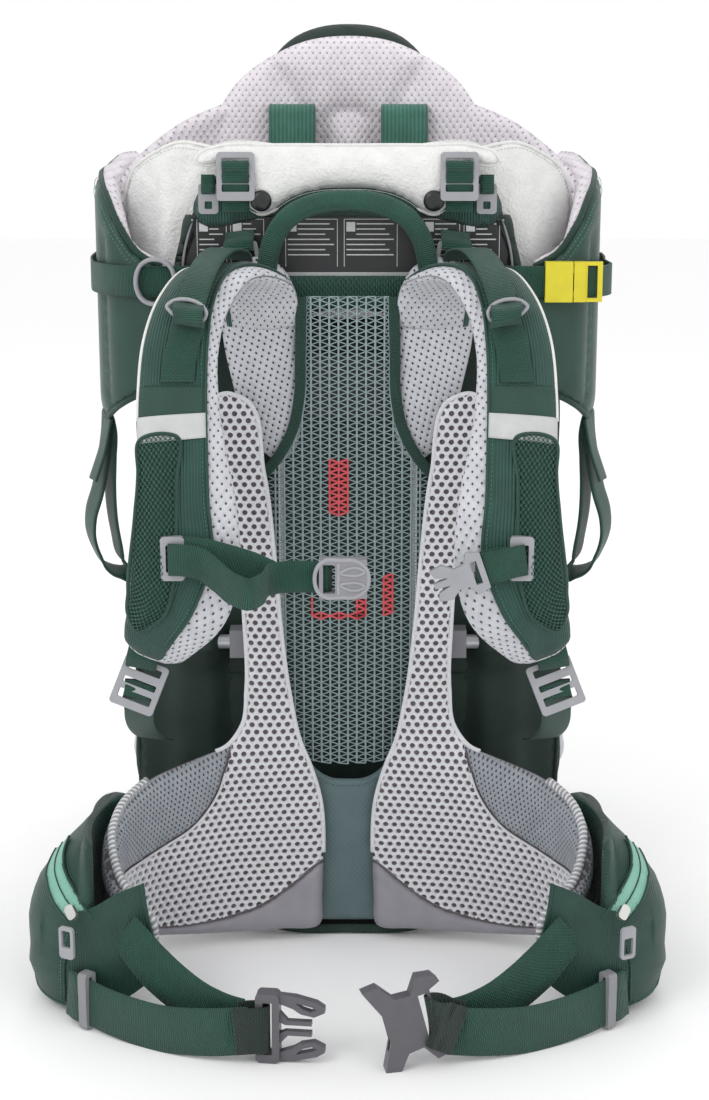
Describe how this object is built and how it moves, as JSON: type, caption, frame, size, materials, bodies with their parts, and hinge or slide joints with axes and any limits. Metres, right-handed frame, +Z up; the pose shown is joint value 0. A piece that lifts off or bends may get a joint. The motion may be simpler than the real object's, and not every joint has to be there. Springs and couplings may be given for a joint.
{
  "type": "baby carrier backpack",
  "caption": "Framed child carrier backpack with a padded harness, hip belt, child cockpit with headrest and stirrups, and a fold-out kickstand.",
  "frame": {"origin": "middle of the flat underside of the base tray", "axes": "+Z up along the frame, +X to the right of the wearer's side as seen from the front, +Y from the wearer to the child"},
  "size_m": [0.508, 0.6138, 0.7646],
  "materials": {
    "tube": "satin anodised",
    "grey_plastic": "moulded",
    "dark_plastic": "moulded",
    "black_plastic": "moulded",
    "yellow_plastic": "moulded",
    "steel": "plated",
    "green_fabric": "ripstop",
    "green_webbing": "woven",
    "spacer_mesh": "spacer mesh",
    "lilac_mesh": "spacer mesh",
    "back_mesh": "knitted net",
    "slate_fabric": "ripstop",
    "white_fleece": "brushed",
    "panel_fabric": "coated"
  },
  "bodies": {
    "frame": {"main_frame": "tube", "base_tray": "dark_plastic", "base_screws": "steel", "seat_frame": "tube", "cockpit_hoop": "tube", "back_stays": "tube", "frame_clamps": "grey_plastic", "slide_rails": "tube", "kickstand_hinges": "grey_plastic", "hinge_pins": "steel", "back_net": "back_mesh", "lumbar_panel": "slate_fabric", "lumbar_pads": "spacer_mesh", "back_bands": "spacer_mesh", "front_panel": "panel_fabric", "chin_pad": "white_fleece", "snap_fasteners": "black_plastic", "top_ladders": "grey_plastic", "canopy_hooks": "grey_plastic", "lifter_rings": "grey_plastic", "pack_body": "green_fabric", "cockpit_sides": "green_fabric", "cockpit_back": "green_fabric", "child_harness": "green_fabric", "side_straps": "green_webbing", "side_buckle_female": "yellow_plastic"},
    "kickstand": {"kickstand": "tube", "kickstand_eyes": "grey_plastic"},
    "seat": {"seat_cushion": "green_fabric"},
    "headrest": {"headrest_pad": "lilac_mesh", "sunroof_pocket": "green_fabric"},
    "handle": {"haul_handle": "green_webbing"},
    "side_buckle": {"side_buckle_male": "yellow_plastic"},
    "stirrup_left": {"stirrup_left": "green_webbing"},
    "stirrup_right": {"stirrup_right": "green_webbing"},
    "harness": {"shoulder_yoke": "spacer_mesh", "yoke_plate": "dark_plastic", "shoulder_straps": "green_fabric"},
    "ladder_left": {"ladder_left": "grey_plastic"},
    "ladder_right": {"ladder_right": "grey_plastic"},
    "sternum_left": {"sternum_slider_left": "grey_plastic", "sternum_web_left": "green_webbing", "sternum_buckle_female": "grey_plastic"},
    "sternum_right": {"sternum_slider_right": "grey_plastic", "sternum_web_right": "green_webbing", "sternum_buckle_male": "grey_plastic"},
    "hip_left": {"hip_fin_left": "spacer_mesh", "hip_pocket_left": "green_fabric", "belt_web_left": "green_webbing", "belt_glide_left": "grey_plastic", "belt_buckle_male": "dark_plastic"},
    "hip_right": {"hip_fin_right": "spacer_mesh", "hip_pocket_right": "green_fabric", "belt_web_right": "green_webbing", "belt_glide_right": "grey_plastic", "belt_buckle_female": "dark_plastic"},
    "zip_left": {"zip_slider_left": "steel"},
    "zip_right": {"zip_slider_right": "steel"},
    "pull_left": {"zip_pull_left": "grey_plastic"},
    "pull_right": {"zip_pull_right": "grey_plastic"}
  },
  "joints": [
    {"name": "kickstand_fold", "type": "hinge", "parent": "frame", "child": "kickstand", "pos_m": [0, 0.19, 0.243], "axis": [1, 0, 0], "range_deg": [-53, 0]},
    {"name": "harness_slide", "type": "slide", "parent": "frame", "child": "harness", "axis": [0, 0, 1], "range_m": [-0.06, 0.004]},
    {"name": "headrest_slide", "type": "slide", "parent": "frame", "child": "headrest", "axis": [0, 0, 1], "range_m": [0, 0.05]},
    {"name": "seat_slide", "type": "slide", "parent": "frame", "child": "seat", "axis": [0, 0, 1], "range_m": [0, 0.06]},
    {"name": "handle_tilt", "type": "hinge", "parent": "frame", "child": "handle", "pos_m": [0, -0.0045, 0.545], "axis": [1, 0, 0], "range_deg": [0, 15]},
    {"name": "side_buckle_release", "type": "slide", "parent": "frame", "child": "side_buckle", "axis": [1, 0, 0], "range_m": [0, 0.02]},
    {"name": "stirrup_left_swing", "type": "hinge", "parent": "frame", "child": "stirrup_left", "pos_m": [-0.2, 0.06, 0.425], "axis": [1, 0, 0], "range_deg": [-20, 20]},
    {"name": "stirrup_right_swing", "type": "hinge", "parent": "frame", "child": "stirrup_right", "pos_m": [0.2, 0.06, 0.425], "axis": [1, 0, 0], "range_deg": [-20, 20]},
    {"name": "ladder_left_tilt", "type": "hinge", "parent": "harness", "child": "ladder_left", "pos_m": [-0.155, -0.121, 0.274], "axis": [0.9285, 0, -0.3714], "range_deg": [-20, 20]},
    {"name": "ladder_right_tilt", "type": "hinge", "parent": "harness", "child": "ladder_right", "pos_m": [0.155, -0.121, 0.274], "axis": [0.9285, 0, 0.3714], "range_deg": [-20, 20]},
    {"name": "sternum_left_slide", "type": "slide", "parent": "harness", "child": "sternum_left", "axis": [0, 0, 1], "range_m": [-0.025, 0.025]},
    {"name": "sternum_right_slide", "type": "slide", "parent": "harness", "child": "sternum_right", "axis": [0, 0, 1], "range_m": [-0.025, 0.025]},
    {"name": "hip_left_open", "type": "hinge", "parent": "frame", "child": "hip_left", "pos_m": [-0.099, -0.04, 0.09], "axis": [0, 0, -1], "range_deg": [0, 20]},
    {"name": "hip_right_open", "type": "hinge", "parent": "frame", "child": "hip_right", "pos_m": [0.099, -0.04, 0.09], "axis": [0, 0, 1], "range_deg": [0, 20]},
    {"name": "zip_left_run", "type": "slide", "parent": "hip_left", "child": "zip_left", "axis": [-0.4534, 0.6549, 0.6046], "range_m": [0, 0.05]},
    {"name": "zip_right_run", "type": "slide", "parent": "hip_right", "child": "zip_right", "axis": [0.4534, 0.6549, 0.6046], "range_m": [0, 0.05]},
    {"name": "pull_left_swing", "type": "hinge", "parent": "zip_left", "child": "pull_left", "pos_m": [-0.215, -0.195, 0.085], "axis": [-0.8944, 0.4472, 0], "range_deg": [-3, 30]},
    {"name": "pull_right_swing", "type": "hinge", "parent": "zip_right", "child": "pull_right", "pos_m": [0.215, -0.195, 0.085], "axis": [0.8944, 0.4472, 0], "range_deg": [-30, 3]}
  ]
}
